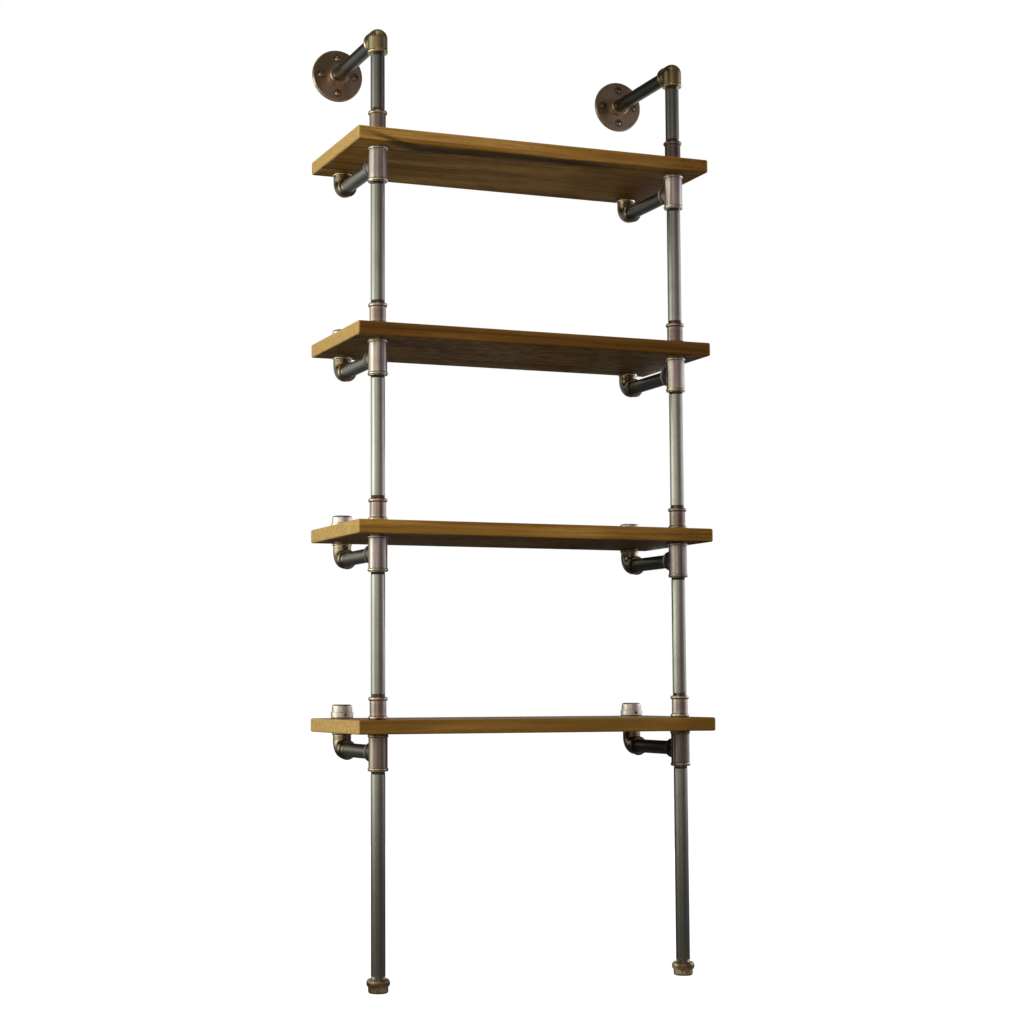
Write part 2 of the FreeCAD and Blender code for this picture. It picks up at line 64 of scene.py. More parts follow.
# %% [markdown]
# ## The camera
#
# The unit is seen from the left and from low down, a little above the lowest board. A wide lens
# from near by would splay the uprights, so a lens of 70 mm stands four metres away and tilts up
# only a few degrees. Turning the camera would centre the unit but skew it again, so a small shift
# slides the picture sideways instead.

# %% Place the camera
EYE = Vector((-1.5280, -3.7303, -1.2194))
TURN_RIGHT = 0.3625         # radians away from straight at the wall
TILT_UP = 0.0825
LEAN = -0.0028
LENS_MM = 70.30             # on Blender's usual 36 mm sensor
SHIFT_X, SHIFT_Y = 0.0796, 0.0095

bpy.ops.object.camera_add()
camera = bpy.context.object
camera.name = "camera"
camera.data.lens = LENS_MM
camera.data.shift_x = SHIFT_X
camera.data.shift_y = SHIFT_Y
camera.matrix_world = (Matrix.Translation(EYE)
                       @ Matrix.Rotation(-TURN_RIGHT, 4, "Z")
                       @ Matrix.Rotation(math.pi / 2 + TILT_UP, 4, "X")
                       @ Matrix.Rotation(LEAN, 4, "Z"))
bpy.context.scene.camera = camera
print("camera", round((EYE - Vector((0, 0, EYE.z))).length, 2), "m from the middle of the wall")

# %% [markdown]
# ## Wiring a finish
#
# Each finish is a web of shader nodes. It could be drawn by hand in the shader editor, but sixty
# nodes are hard to follow there, so a handful of helpers builds it: one adds a node and fills its
# sockets, one makes noise with a chosen number of lumps a metre, one fades between two values,
# one does sums, and some mix colours. All patterns read the Object coordinates, which are metres
# in the unit's own frame, so a pattern keeps its real size.

# %% Helpers for nodes and sums
def add_node(tree, kind, sockets=None, **settings):
    """A new shader node. A socket is given a value, or another node's output to wire in."""
    node = tree.nodes.new("ShaderNode" + kind)
    for setting, value in settings.items():
        setattr(node, setting, value)
    for socket, value in (sockets or {}).items():
        if isinstance(value, bpy.types.NodeSocket):
            tree.links.new(value, node.inputs[socket])
        else:
            node.inputs[socket].default_value = value
    return node


def lumps(tree, place, per_metre, detail=2.0, shift=(0, 0, 0)):
    """Noise around 0.5 with so many lumps a metre along X, Y and Z."""
    stretched = add_node(tree, "Mapping", {"Vector": place, "Location": shift,
                                           "Scale": per_metre})
    noise = add_node(tree, "TexNoise", {"Vector": stretched.outputs[0], "Scale": 1.0,
                                        "Detail": detail})
    return noise.outputs["Fac"]


def fade(tree, value, start, end):
    """Smoothly from 0 at start to 1 at end."""
    return add_node(tree, "MapRange", {"Value": value, "From Min": start, "From Max": end},
                    interpolation_type="SMOOTHSTEP").outputs["Result"]


def reckon(tree, operation, *values):
    """One sum on numbers and sockets, such as ADD, MAXIMUM or MULTIPLY_ADD."""
    return add_node(tree, "Math", dict(enumerate(values)), operation=operation).outputs[0]


def distance_of(tree, first, second):
    """How far away a point is that lies so far off along two axes."""
    squares = reckon(tree, "MULTIPLY_ADD", first, first, reckon(tree, "MULTIPLY", second, second))
    return reckon(tree, "SQRT", squares)


def xyz(tree, place):
    """The three parts of a place."""
    return add_node(tree, "SeparateXYZ", {"Vector": place}).outputs


print("helpers for sums ready")

# %% Helpers for colours and finishes
def mix_colours(tree, share, first, second, blend_type="MIX"):
    """The first colour where the share is 0, and the second where it is 1."""
    return add_node(tree, "Mix", {"Factor": share, 6: first, 7: second}, data_type="RGBA",
                    blend_type=blend_type).outputs[2]


def glaze(tree, colour, mask, share, over):
    """Lay a share of another colour over this one where the mask is 1."""
    return mix_colours(tree, reckon(tree, "MULTIPLY", mask, share), colour, over)


def scaled(colour, share, most=math.inf):
    """A colour times a share, with no part of it above the most."""
    return tuple(min(part * share, most) for part in colour[:3]) + (1,)


def bare_finish(name):
    """A new material: its node tree, its shader and the metres of the unit's frame."""
    finish = bpy.data.materials.new(name)
    finish.use_nodes = True
    tree = finish.node_tree
    place = add_node(tree, "TexCoord").outputs["Object"]
    return finish, tree, tree.nodes["Principled BSDF"], place


def dress(node_name, finish):
    """Put a finish on a CAD node."""
    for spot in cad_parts[node_name].material_slots:
        spot.material = finish


print("helpers for finishes ready")

# %% [markdown]
# ## Oiled boards
#
# Real boards show the same growth rings on every face: long streaks on the front, arches on the
# top and arcs on the ends. A picture of wood wrapped around a board would break at its edges, so
# the grain is not painted on a face but grown in space. Each board gets a heart line that runs
# past it nearly along X. The distance from that line, bent by slow noise, is cut into rings.
# Broad streaks, fine fibres and short dark pores lie over them, and a board can have a dark vein
# along a line of its own.

# %% Growth rings in space
RING_M = 0.0052             # one year's growth
WANDER_M = 0.030            # slow bends of the rings
RIPPLE_M = 0.0022           # quick ones


def ring_shade(tree, local, heart, slope):
    """0 to 1 through each year's ring: pale early wood, then a darker line."""
    leaned = add_node(tree, "Mapping", {"Vector": local, "Location": heart,
                                        "Rotation": (0, slope[0], slope[1])})
    across = add_node(tree, "VectorMath", {0: leaned.outputs[0], 1: (0.0, 1.0, 1.0)},
                      operation="MULTIPLY")
    distance = add_node(tree, "VectorMath", {0: across.outputs[0]}, operation="LENGTH")
    wander = lumps(tree, local, (2.2, 14, 14), detail=3.0)
    ripple = lumps(tree, local, (14, 90, 90), detail=2.0)
    bent = reckon(tree, "MULTIPLY_ADD", wander, WANDER_M, distance.outputs["Value"])
    bent = reckon(tree, "MULTIPLY_ADD", ripple, RIPPLE_M, bent)
    return reckon(tree, "FRACT", reckon(tree, "DIVIDE", bent, RING_M))


print("one ring every", RING_M * 1000, "mm")

# %% A dark vein
VEIN_BROWN = (0.030, 0.014, 0.003, 1)
SWAY_M = 0.020              # slow bends of the vein
FORWARD_M = 0.028           # how far it comes forward near the left end
COARSE_FRAY, FINE_FRAY = 1.1, 1.5
VEIN_RIM, VEIN_CORE = 2.85, 1.80


def vein_shade(tree, local, line, reach, rise, span):
    """1 along a dark vein near the line (y, z), fading out beyond its span of X.

    The vein reaches so far along Y and Z. Near the left end of the board it comes forward and
    rises by so much.
    """
    sway = lumps(tree, local, (5, 5, 5), detail=3.0)
    x, y, z = xyz(tree, local)
    climb = reckon(tree, "MULTIPLY", fade(tree, x, -0.26, -0.37), rise)
    forward = reckon(tree, "MULTIPLY_ADD", fade(tree, x, -0.22, -0.30), FORWARD_M,
                     -SWAY_M / 2 - line[0])
    offset_y = reckon(tree, "MULTIPLY_ADD", sway, SWAY_M, forward)
    offset_z = reckon(tree, "SUBTRACT", -line[1], climb)
    across = add_node(tree, "CombineXYZ", {
        "Y": reckon(tree, "DIVIDE", reckon(tree, "ADD", y, offset_y), reach[0]),
        "Z": reckon(tree, "DIVIDE", reckon(tree, "ADD", z, offset_z), reach[1])})
    distance = add_node(tree, "VectorMath", {0: across.outputs[0]}, operation="LENGTH")
    frayed = reckon(tree, "MULTIPLY_ADD", lumps(tree, local, (7, 120, 200), detail=3.0),
                    COARSE_FRAY, distance.outputs["Value"])
    frayed = reckon(tree, "MULTIPLY_ADD", lumps(tree, local, (10, 420, 520), detail=2.0),
                    FINE_FRAY, frayed)
    near = reckon(tree, "MULTIPLY", fade(tree, frayed, VEIN_RIM, VEIN_CORE),
                  fade(tree, x, -0.42, -0.25))
    inside = reckon(tree, "MULTIPLY", fade(tree, x, span[0] - 0.05, span[0] + 0.03),
                    fade(tree, x, span[1] + 0.08, span[1] - 0.08))
    return reckon(tree, "MULTIPLY", near, inside)


print("the vein sways by", SWAY_M * 1000, "mm")

# %% Colours of a board's faces
END_PALE = (0.56, 0.370, 0.125, 1)
END_DEEP = (0.42, 0.265, 0.075, 1)
# Pale wear, and painted highlight, on the edges around a board's end.
WORN_EDGE_AND_HIGHLIGHT = (0.50, 0.34, 0.14, 1)
RAGGED_M = 0.06             # how far a darker end reaches in along the streaks


def face_colour(tree, noise, line, pore, x, pale, deep, dark, darker):
    """Two tones in broad streaks, darker towards the ends, under dark grain and pores."""
    colour = mix_colours(tree, fade(tree, noise["broad"], 0.34, 0.64), pale, deep)
    ragged = reckon(tree, "MULTIPLY_ADD", noise["streak"], RAGGED_M, x)
    for start, end, share in darker:
        colour = glaze(tree, colour, fade(tree, ragged, start, end), share, dark)
    colour = glaze(tree, colour, line, 0.40, deep)
    colour = glaze(tree, colour, fade(tree, noise["streak"], 0.50, 0.74), 0.75, dark)
    colour = glaze(tree, colour, fade(tree, noise["fine"], 0.48, 0.74), 0.35, dark)
    colour = glaze(tree, colour, fade(tree, noise["mottle"], 0.48, 0.68), 0.30, deep)
    colour = glaze(tree, colour, noise["fibre"], 0.22, dark)
    return glaze(tree, colour, pore, 0.50, dark)


def underside_tint(tree, noise, under, blotches):
    """The underside gets a tint of its own, which varies in blotches."""
    under_blotch = fade(tree, noise["under_blotch"], 0.38, 0.62)
    return mix_colours(tree, under_blotch, scaled(under, 1 + blotches), scaled(under, 1 - blotches))


def end_colour(tree, noise, line, pore, deep):
    """The sawn ends are paler and blotched, and show the rings as faint arcs."""
    colour = mix_colours(tree, fade(tree, noise["blotch"], 0.36, 0.70), END_PALE, END_DEEP)
    colour = glaze(tree, colour, line, 0.16, deep)
    return glaze(tree, colour, pore, 0.30, deep)


print("faces, undersides and ends have their colours")

# %% Finish of one board
# Lumps a metre along X, Y and Z, and how many finer layers lie in them.
BOARD_NOISE = {
    "broad": ((3.0, 24, 60), 3.0), "streak": ((2.2, 75, 120), 4.0), "fine": ((9, 260, 300), 3.0),
    "fibre": ((14, 700, 700), 2.0), "pore": ((70, 1500, 1500), 1.0),
    "mottle": ((75, 190, 190), 4.0), "under_blotch": ((40, 85, 85), 4.0),
    "rubbed_and_highlight": ((22, 22, 60), 2.0), "blotch": ((130, 130, 190), 5.0)}
INNER_SKIN, OUTER_SKIN = 0.0006, 0.0002     # a face's own finish fades in between these depths
OIL_GLOSS = 0.50
RUBBED_TOP = -0.24          # what rubbing takes off the top's roughness
OIL_SHINE = 0.03            # specular level


def board_finish(number, low, high, heart, slope, pale, deep, dark, darker, under, blotches,
                 vein):
    """Oiled solid wood for the board between two corners."""
    finish, tree, shader, place = bare_finish(f"oiled_board_{number}")
    half = (high - low) / 2
    local = add_node(tree, "Mapping", {"Vector": place, "Location": -(low + high) / 2}).outputs[0]
    parts = xyz(tree, local)
    shift = (number * 7.3, number * 3.1, number * 5.7)
    noise = {word: lumps(tree, local, per_metre, detail, shift)
             for word, (per_metre, detail) in BOARD_NOISE.items()}
    ring = ring_shade(tree, local, heart, slope)
    line = reckon(tree, "MULTIPLY", fade(tree, ring, 0.35, 0.86), fade(tree, ring, 1.0, 0.90))
    pore = fade(tree, noise["pore"], 0.64, 0.74)

    colour = face_colour(tree, noise, line, pore, parts[0], pale, deep, dark, darker)
    if vein:
        colour = glaze(tree, colour, vein_shade(tree, local, **vein), 0.88, VEIN_BROWN)
    below = fade(tree, parts[2], INNER_SKIN - half.z, OUTER_SKIN - half.z)
    colour = mix_colours(tree, below, colour, underside_tint(tree, noise, under, blotches),
                         "MULTIPLY")
    # How far in from each pair of faces. The edges around an end are made pale, partly by wear and
    # partly as a painted highlight on their rounding.
    inward = [reckon(tree, "SUBTRACT", half[axis], reckon(tree, "ABSOLUTE", parts[axis]))
              for axis in range(3)]
    at_end = fade(tree, inward[0], 0.0016, 0.0004)
    colour = mix_colours(tree, at_end, colour, end_colour(tree, noise, line, pore, deep))
    end_edge = reckon(tree, "MAXIMUM", inward[0], reckon(tree, "MINIMUM", inward[1], inward[2]))
    wear_and_highlight = reckon(tree, "MULTIPLY", fade(tree, end_edge, 0.0044, 0.0014),
                  fade(tree, noise["rubbed_and_highlight"], 0.26, 0.50))
    colour = glaze(tree, colour, wear_and_highlight, 0.60, WORN_EDGE_AND_HIGHLIGHT)
    tree.links.new(colour, shader.inputs["Base Color"])

    # The top is rubbed smooth, so it shines when it is seen nearly edge on.
    gloss = reckon(tree, "MULTIPLY_ADD", noise["fibre"], 0.20, OIL_GLOSS)
    above = fade(tree, parts[2], half.z - INNER_SKIN, half.z - OUTER_SKIN)
    gloss = reckon(tree, "MULTIPLY_ADD", above, RUBBED_TOP, gloss)
    tree.links.new(gloss, shader.inputs["Roughness"])
    relief = reckon(tree, "MULTIPLY_ADD", line, -0.4, noise["fibre"])
    relief = reckon(tree, "MULTIPLY_ADD", pore, -0.8, relief)
    bump = add_node(tree, "Bump", {"Strength": 0.40, "Distance": 0.0004, "Height": relief})
    tree.links.new(bump.outputs[0], shader.inputs["Normal"])
    shader.inputs["Specular IOR Level"].default_value = OIL_SHINE
    return finish


print("board finish ready")

# %% Dress the four boards
# A darker end is the X where it starts, the X where it is full, and how dark it is.
BOARDS = {
    1: {"heart": (0.0, 0.165, 0.034), "slope": (0.020, 0.055), "pale": (0.440, 0.235, 0.058, 1),
        "deep": (0.260, 0.122, 0.022, 1), "dark": (0.075, 0.030, 0.005, 1),
        "darker": [(0.12, 0.20, 0.36), (0.28, 0.35, 0.48)],
        "under": (0.88, 0.93, 0.80), "blotches": 0.10,
        "vein": {"line": (-0.117, -0.0150), "reach": (0.024, 0.0048), "rise": 0.020,
                 "span": (-0.36, 0.17)}},
    2: {"heart": (0.0, -0.110, 0.070), "slope": (-0.015, -0.020),
        "pale": (0.182, 0.081, 0.015, 1), "deep": (0.120, 0.050, 0.009, 1),
        "dark": (0.055, 0.021, 0.003, 1), "darker": [(0.10, 0.18, 0.16)],
        "under": (1.02, 1.34, 2.15), "blotches": 0.28, "vein": None},
    3: {"heart": (0.0, 0.060, 0.085), "slope": (0.012, 0.030), "pale": (0.395, 0.205, 0.046, 1),
        "deep": (0.262, 0.126, 0.022, 1), "dark": (0.095, 0.038, 0.004, 1),
        "darker": [(0.125, 0.205, 0.48), (0.28, 0.35, 0.58)],
        "under": (0.53, 0.62, 1.05), "blotches": 0.22, "vein": None},
    4: {"heart": (0.0, 0.175, -0.012), "slope": (0.006, -0.012),
        "pale": (0.290, 0.148, 0.032, 1), "deep": (0.195, 0.094, 0.018, 1),
        "dark": (0.080, 0.034, 0.003, 1), "darker": [(-0.15, -0.25, 0.34), (0.28, 0.35, 0.60)],
        "under": (0.8, 0.85, 1.1), "blotches": 0.10, "vein": None},
}
for number, wood in BOARDS.items():
    node_name = f"shelf_{number}"
    low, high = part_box(node_name)
    dress(node_name, board_finish(number, low, high, **wood))
    print(node_name, "oiled,", round(high.x - low.x, 3), "m long")

# %% [markdown]
# ## Gunmetal pipe
#
# The pipe is drawn steel with a grey-green plating. Drawing leaves faint lines along the tube. An
# even noise would look like a casting, so one is stretched along the pipe's axis. Where a few
# turns of thread stick out of a fitting, a band of painted shade marks the joint. Those zones
# could be pieces of their own, but they repeat with the boards, so height is measured modulo the
# board pitch, and one finish serves all the uprights.

# %% Find the thread zones
shelf_low, shelf_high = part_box("shelf_4")
board_top = shelf_high.z
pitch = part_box("shelf_3")[1].z - board_top
coupling_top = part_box("left_coupling_4")[1].z
tee_low, tee_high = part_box("left_tee_4")
THREAD_M = 0.0025           # length of painted shade on the thread that shows
SOFT_M = 0.0004             # half the width in which a zone fades


def zone(tree, coordinate, start, end):
    """1 between two values and 0 outside."""
    return reckon(tree, "MULTIPLY", fade(tree, coordinate, start - SOFT_M, start + SOFT_M),
                  fade(tree, coordinate, end + SOFT_M, end - SOFT_M))


def zones(tree, coordinate, spans):
    """1 in any of the spans, which lie apart."""
    total = 0.0
    for start, end in spans:
        total = reckon(tree, "ADD", total, zone(tree, coordinate, start, end))
    return total


def height_in_pitch(tree, z):
    """Height above the board's top below it, from 0 to one pitch."""
    above = reckon(tree, "SUBTRACT", z, board_top)
    return reckon(tree, "FLOORED_MODULO", above, pitch)


print("pitch", round(pitch, 3), "m")

# %% Finish of the pipes
PIPE_PALE = (0.430, 0.435, 0.385)
PIPE_DEEP = (0.310, 0.300, 0.260)
# Painted shade: the darker colour where the thread leaves a fitting.
THREAD_SHADE = (0.330, 0.305, 0.255)
ACROSS_PER_M, ALONG_PER_M = 420, 3          # drawing marks
Y, Z = 1, 2                 # a pipe runs along one of these


def pipe_finish(name, along, spans, shade=1.0, repeats=False, rough=0.16):
    """Gunmetal-plated pipe along one axis, with painted shade on the thread in the given spans.

    Where it repeats, the spans are heights within one board pitch. A shade other than 1 paints
    light or shade on the whole pipe.
    """
    pale, deep, thread_shade = [scaled(colour, shade)
                               for colour in (PIPE_PALE, PIPE_DEEP, THREAD_SHADE)]
    finish, tree, shader, place = bare_finish(name)
    position = xyz(tree, place)[along]
    drawn = [ACROSS_PER_M] * 3
    drawn[along] = ALONG_PER_M
    line = lumps(tree, place, drawn, detail=3.0)
    mottle = lumps(tree, place, (34, 34, 34), detail=4.0)
    colour = mix_colours(tree, fade(tree, line, 0.30, 0.75), pale, deep)
    colour = glaze(tree, colour, fade(tree, mottle, 0.45, 0.75), 0.6, deep)
    wrapped = height_in_pitch(tree, position) if repeats else position
    thread = zones(tree, wrapped, spans)
    if repeats:
        elbow_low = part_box("left_top_elbow")[0].z
        thread = reckon(tree, "ADD", thread,
                        zone(tree, position, elbow_low - THREAD_M, elbow_low))
    # The thread zones take the painted shade of the joint.
    colour = mix_colours(tree, reckon(tree, "MINIMUM", thread, 1.0), colour, thread_shade)
    tree.links.new(colour, shader.inputs["Base Color"])
    gloss = reckon(tree, "MULTIPLY_ADD", line, 0.12, rough)
    gloss = reckon(tree, "MULTIPLY_ADD", mottle, 0.06, gloss)
    tree.links.new(gloss, shader.inputs["Roughness"])
    bump = add_node(tree, "Bump", {"Strength": 0.10, "Distance": 0.0002, "Height": line})
    tree.links.new(bump.outputs[0], shader.inputs["Normal"])
    shader.inputs["Metallic"].default_value = 1.0
    return finish


print("pipe finish ready")

# %% Dress the pipes
# Painted light and shade: the legs are painted lighter than the uprights, and the brackets and the
# wall pipes darker, the right brackets and the wall pipes most, as lit and shaded copies of one
# gunmetal.
LEG_SHADE = 1.40
BRACKET_SHADES = {"left": 0.92, "right": 0.56}
BRACKET_ROUGH = 0.30
WALL_PIPE_SHADE = 0.45

above_coupling = coupling_top - board_top
below_tee = tee_low.z - board_top + pitch
foot_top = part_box("left_foot_cap")[1].z
rear_elbow_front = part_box("left_rear_elbow_4")[0].y
top_elbow_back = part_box("left_top_elbow")[1].y
flange_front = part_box("left_wall_flange")[0].y

upright_finish = pipe_finish("gunmetal_upright", Z, [
    (above_coupling, above_coupling + THREAD_M),
    (below_tee - THREAD_M, below_tee)], repeats=True)
leg_finish = pipe_finish("gunmetal_leg", Z, [
    (tee_low.z - THREAD_M, tee_low.z),
    (foot_top, foot_top + THREAD_M)], shade=LEG_SHADE)
bracket_finishes = {side: pipe_finish(f"gunmetal_bracket_{side}", Y, [
    (tee_high.y, tee_high.y + THREAD_M),
    (rear_elbow_front - THREAD_M, rear_elbow_front)], shade=shade, rough=BRACKET_ROUGH)
    for side, shade in BRACKET_SHADES.items()}
wall_pipe_finish = pipe_finish("gunmetal_wall_pipe", Y, [
    (top_elbow_back, top_elbow_back + THREAD_M),
    (flange_front - THREAD_M, flange_front)], shade=WALL_PIPE_SHADE)
for node_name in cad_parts:
    if "bracket_pipe" in node_name:
        dress(node_name, bracket_finishes[node_name.split("_")[0]])
    elif "wall_pipe" in node_name:
        dress(node_name, wall_pipe_finish)
    elif "leg_pipe" in node_name:
        dress(node_name, leg_finish)
    elif "_pipe" in node_name or "nipples" in node_name:
        dress(node_name, upright_finish)
print("threads show from", round(above_coupling, 4), "and", round(below_tee, 4), "m in a pitch")

# %% [markdown]
# ## Antique bronze fittings
#
# Tees, elbows, couplings and caps are cast iron with an antique bronze plating: dark patina is
# left in the corners and rubbed off the raised beads, where the metal is almost silver. Both
# could be painted on by hand, but 38 fittings need a rule. The Ambient Occlusion node finds them:
# it counts the rays that a corner catches, and with Inside on it does the same from within, which
# picks out outer edges. It also counts a board or a pipe close by, so the darkening there is
# painted shade. Tees, couplings and top elbows are brushed along the upright as well, which
# smears their reflections into long stripes.

# %% Finish of a casting
# Dark oxide in a casting's hollows, and the colour of painted shade on it.
PATINA_AND_SHADE = (0.060, 0.040, 0.030, 1)
CORNER_M = 0.007            # patina, and painted shade next to a board or pipe, reach this near to a corner
EDGE_M = 0.0022             # an outer edge is rubbed this far in
RAYS = 8
CAST_RELIEF, BRUSHED_RELIEF = 0.20, 0.04


def no_marks(tree, place):
    """No painted shade, no painted rim highlight and no painted slant of the tone across the
    fitting.
    """
    return 0.0, 0.0, 0.0


def casting_tone(tree, place, burnished, slant):
    """0 where the metal is pale and 1 where it is deep: clouds, brushed streaks and a painted
    slant.
    """
    tone = fade(tree, lumps(tree, place, (26, 26, 26), detail=3.0), 0.34, 0.68)
    if burnished:
        streak = lumps(tree, place, (210, 210, 2), detail=2.0)
        tone = reckon(tree, "MULTIPLY", tone, 0.4)
        tone = reckon(tree, "ADD", tone, fade(tree, streak, 0.44, 0.60))
    tone = reckon(tree, "ADD", tone, slant)
    return reckon(tree, "MINIMUM", reckon(tree, "MAXIMUM", tone, 0.0), 1.0)


def casting_finish(name, pale, deep, wear_and_highlight, gloss, grain_per_metre=900, burnished=0.0,
                   speckle=0.35, patina_and_shade=0.80, marks=no_marks, light_share=1.0):
    """Plated casting: two tones of metal, corners darkened by its own oxide and by painted shade,
    and pale edges from wear and painted highlight.

    A burnished fitting has fine marks along Z, and its reflections are smeared along them.
    """
    # A light share other than 1 paints light or shade on this one piece.
    pale, deep, wear_and_highlight = [scaled(colour, light_share, most=1.0) for colour in (pale, deep, wear_and_highlight)]
    finish, tree, shader, place = bare_finish(name)
    painted_shade, rim, slant = marks(tree, place)
    grain = [grain_per_metre] * 3
    if burnished:
        grain[Z] = 6
    speck = lumps(tree, place, grain, detail=2.0)
    colour = mix_colours(tree, casting_tone(tree, place, burnished, slant), pale, deep)
    colour = glaze(tree, colour, fade(tree, speck, 0.50, 0.72), speckle, deep)

    corner = add_node(tree, "AmbientOcclusion", {"Distance": CORNER_M}, samples=RAYS)
    # Darkening in the corners: oxide in the casting's own hollows, painted shade where a board or
    # pipe stands close, and the painted shade that marks give.
    hollow = reckon(tree, "MAXIMUM", fade(tree, corner.outputs["AO"], 0.80, 0.35), painted_shade)
    colour = glaze(tree, colour, hollow, patina_and_shade, PATINA_AND_SHADE)
    outer = add_node(tree, "AmbientOcclusion", {"Distance": EDGE_M}, samples=RAYS, inside=True,
                     only_local=True)
    # Pale edges: wear on the outer edges, and the painted highlights that marks give to rims.
    rubbed_and_highlight = reckon(tree, "MAXIMUM", fade(tree, outer.outputs["AO"], 0.92, 0.60), rim)
    patchy = fade(tree, lumps(tree, place, (60, 60, 60), detail=3.0), 0.30, 0.55)
    colour = glaze(tree, colour, reckon(tree, "MULTIPLY", rubbed_and_highlight, patchy), 0.85, wear_and_highlight)
    tree.links.new(colour, shader.inputs["Base Color"])

    rough = reckon(tree, "MULTIPLY_ADD", speck, 0.10, gloss - 0.05)
    rough = reckon(tree, "MULTIPLY_ADD", hollow, 0.15, rough)
    tree.links.new(rough, shader.inputs["Roughness"])
    bump = add_node(tree, "Bump", {"Strength": BRUSHED_RELIEF if burnished else CAST_RELIEF,
                                   "Distance": 0.00025, "Height": speck})
    tree.links.new(bump.outputs[0], shader.inputs["Normal"])
    shader.inputs["Metallic"].default_value = 1.0
    shader.inputs["Anisotropic"].default_value = burnished
    if burnished:
        upwards = add_node(tree, "CombineXYZ", {"Z": 1.0})
        tree.links.new(upwards.outputs[0], shader.inputs["Tangent"])
    return finish


print("casting finish ready")

# %% [markdown]
# Occlusion alone can't tell a bead from a body or find the shade around a screw. So each kind of
# fitting may have marks of its own, worked out from its place in the unit: where shade is painted,
# where a rim is made bright by wear and painted highlight, and how a painted light slants across
# it. The unit is symmetric, so the marks are worked out for one side, and the other side folds
# onto it.

# %% Marks of tees, couplings and rear elbows
TEE_BODY_R, COUPLING_BODY_R = 0.0177, 0.0154
UNDER_BOARD = pitch - (shelf_high.z - shelf_low.z)
BEAD_M = 0.0075             # height of an elbow's bead
IN_FRONT = (0.012, 0.006)   # metres behind the axis where a bead's wear and painted highlight start and are full
BEHIND = (0.015, 0.022)     # and where the painted shade behind starts and is full
SHADE_BEHIND = 0.65


def bead_marks(node_name, body_r):
    """Beads bright with wear and painted highlight on a fitting around the upright, and painted
    shade behind it.
    """
    low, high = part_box(node_name)
    bead_r = (high.x - low.x) / 2
    axis_x = abs(low.x + high.x) / 2
    axis_y = low.y + bead_r

    def marks(tree, place):
        parts = xyz(tree, place)
        side = reckon(tree, "SUBTRACT", reckon(tree, "ABSOLUTE", parts[0]), axis_x)
        back = reckon(tree, "SUBTRACT", parts[1], axis_y)
        bead = fade(tree, distance_of(tree, side, back),
                    body_r + 0.15 * (bead_r - body_r), bead_r - 0.0003)
        # Painted shade behind the axis, on a tee's branch towards the bracket.
        painted_shade = reckon(tree, "MULTIPLY", fade(tree, back, *BEHIND), SHADE_BEHIND)
        return painted_shade, reckon(tree, "MULTIPLY", bead, fade(tree, back, *IN_FRONT)), 0.0
    return marks


def elbow_marks(tree, place):
    """A painted highlight on the bead of a rear elbow, where it meets the board."""
    level = height_in_pitch(tree, xyz(tree, place)[2])
    return 0.0, zone(tree, level, UNDER_BOARD - BEAD_M, UNDER_BOARD - 0.0010), 0.0


print("an elbow's bead starts", round(UNDER_BOARD - BEAD_M, 4), "m up in a pitch")

# %% Marks of wall flanges and their screws
flange_low, flange_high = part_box("right_wall_flange")
FLANGE_X = (flange_low.x + flange_high.x) / 2
FLANGE_R = (flange_high.x - flange_low.x) / 2
SCREW_CIRCLE_R = 0.035
HUB_R = 0.0193
SCREW_SHADE_R = 0.0078             # painted shade reaches this far around a screw
SLANT_PER_M = -9.0          # painted light: the lower right of a flange is paler


def right_of_flange(tree, x):
    """How far to the right of its own flange's centre a place lies."""
    return reckon(tree, "SUBTRACT", x,
                  reckon(tree, "MULTIPLY", reckon(tree, "SIGN", x), FLANGE_X))


def flange_marks(tree, place):
    """Painted shade around a flange's four screws, painted highlight on its rim and hub, and
    painted light on its lower right.
    """
    parts = xyz(tree, place)
    right = right_of_flange(tree, parts[0])
    # Painted light: the tone grows paler towards the lower right.
    slant = reckon(tree, "MULTIPLY", reckon(tree, "SUBTRACT", right, parts[2]), SLANT_PER_M)
    side = reckon(tree, "ABSOLUTE", right)
    up = reckon(tree, "ABSOLUTE", parts[2])
    from_axis = distance_of(tree, side, up)
    # The screws are a quarter turn apart, so folding the face twice lays them on one another.
    along = reckon(tree, "SUBTRACT", reckon(tree, "MAXIMUM", side, up), SCREW_CIRCLE_R)
    from_screw = distance_of(tree, along, reckon(tree, "MINIMUM", side, up))
    # Painted shade around each screw head.
    painted_shade = fade(tree, from_screw, SCREW_SHADE_R + 0.0012, SCREW_SHADE_R - 0.0008)
    # Painted highlight on the rim and the hub.
    rim = fade(tree, from_axis, FLANGE_R - 0.0030, FLANGE_R - 0.0012)
    hub = zone(tree, from_axis, HUB_R - 0.0016, HUB_R + 0.0002)
    return painted_shade, reckon(tree, "MAXIMUM", rim, hub), slant


def screw_marks(tree, place):
    """Painted shade on each flange's right-hand screw, and on the right flange's left one."""
    x = xyz(tree, place)[0]
    right = right_of_flange(tree, x)
    on_right_flange = fade(tree, x, -0.010, 0.010)
    left_screw = reckon(tree, "MULTIPLY", fade(tree, right, -0.020, -0.028), on_right_flange)
    painted_shade = reckon(tree, "MULTIPLY_ADD", left_screw, 0.7, fade(tree, right, 0.020, 0.028))
    return painted_shade, 0.0, 0.0


print("flanges", round(FLANGE_R * 2000), "mm across")
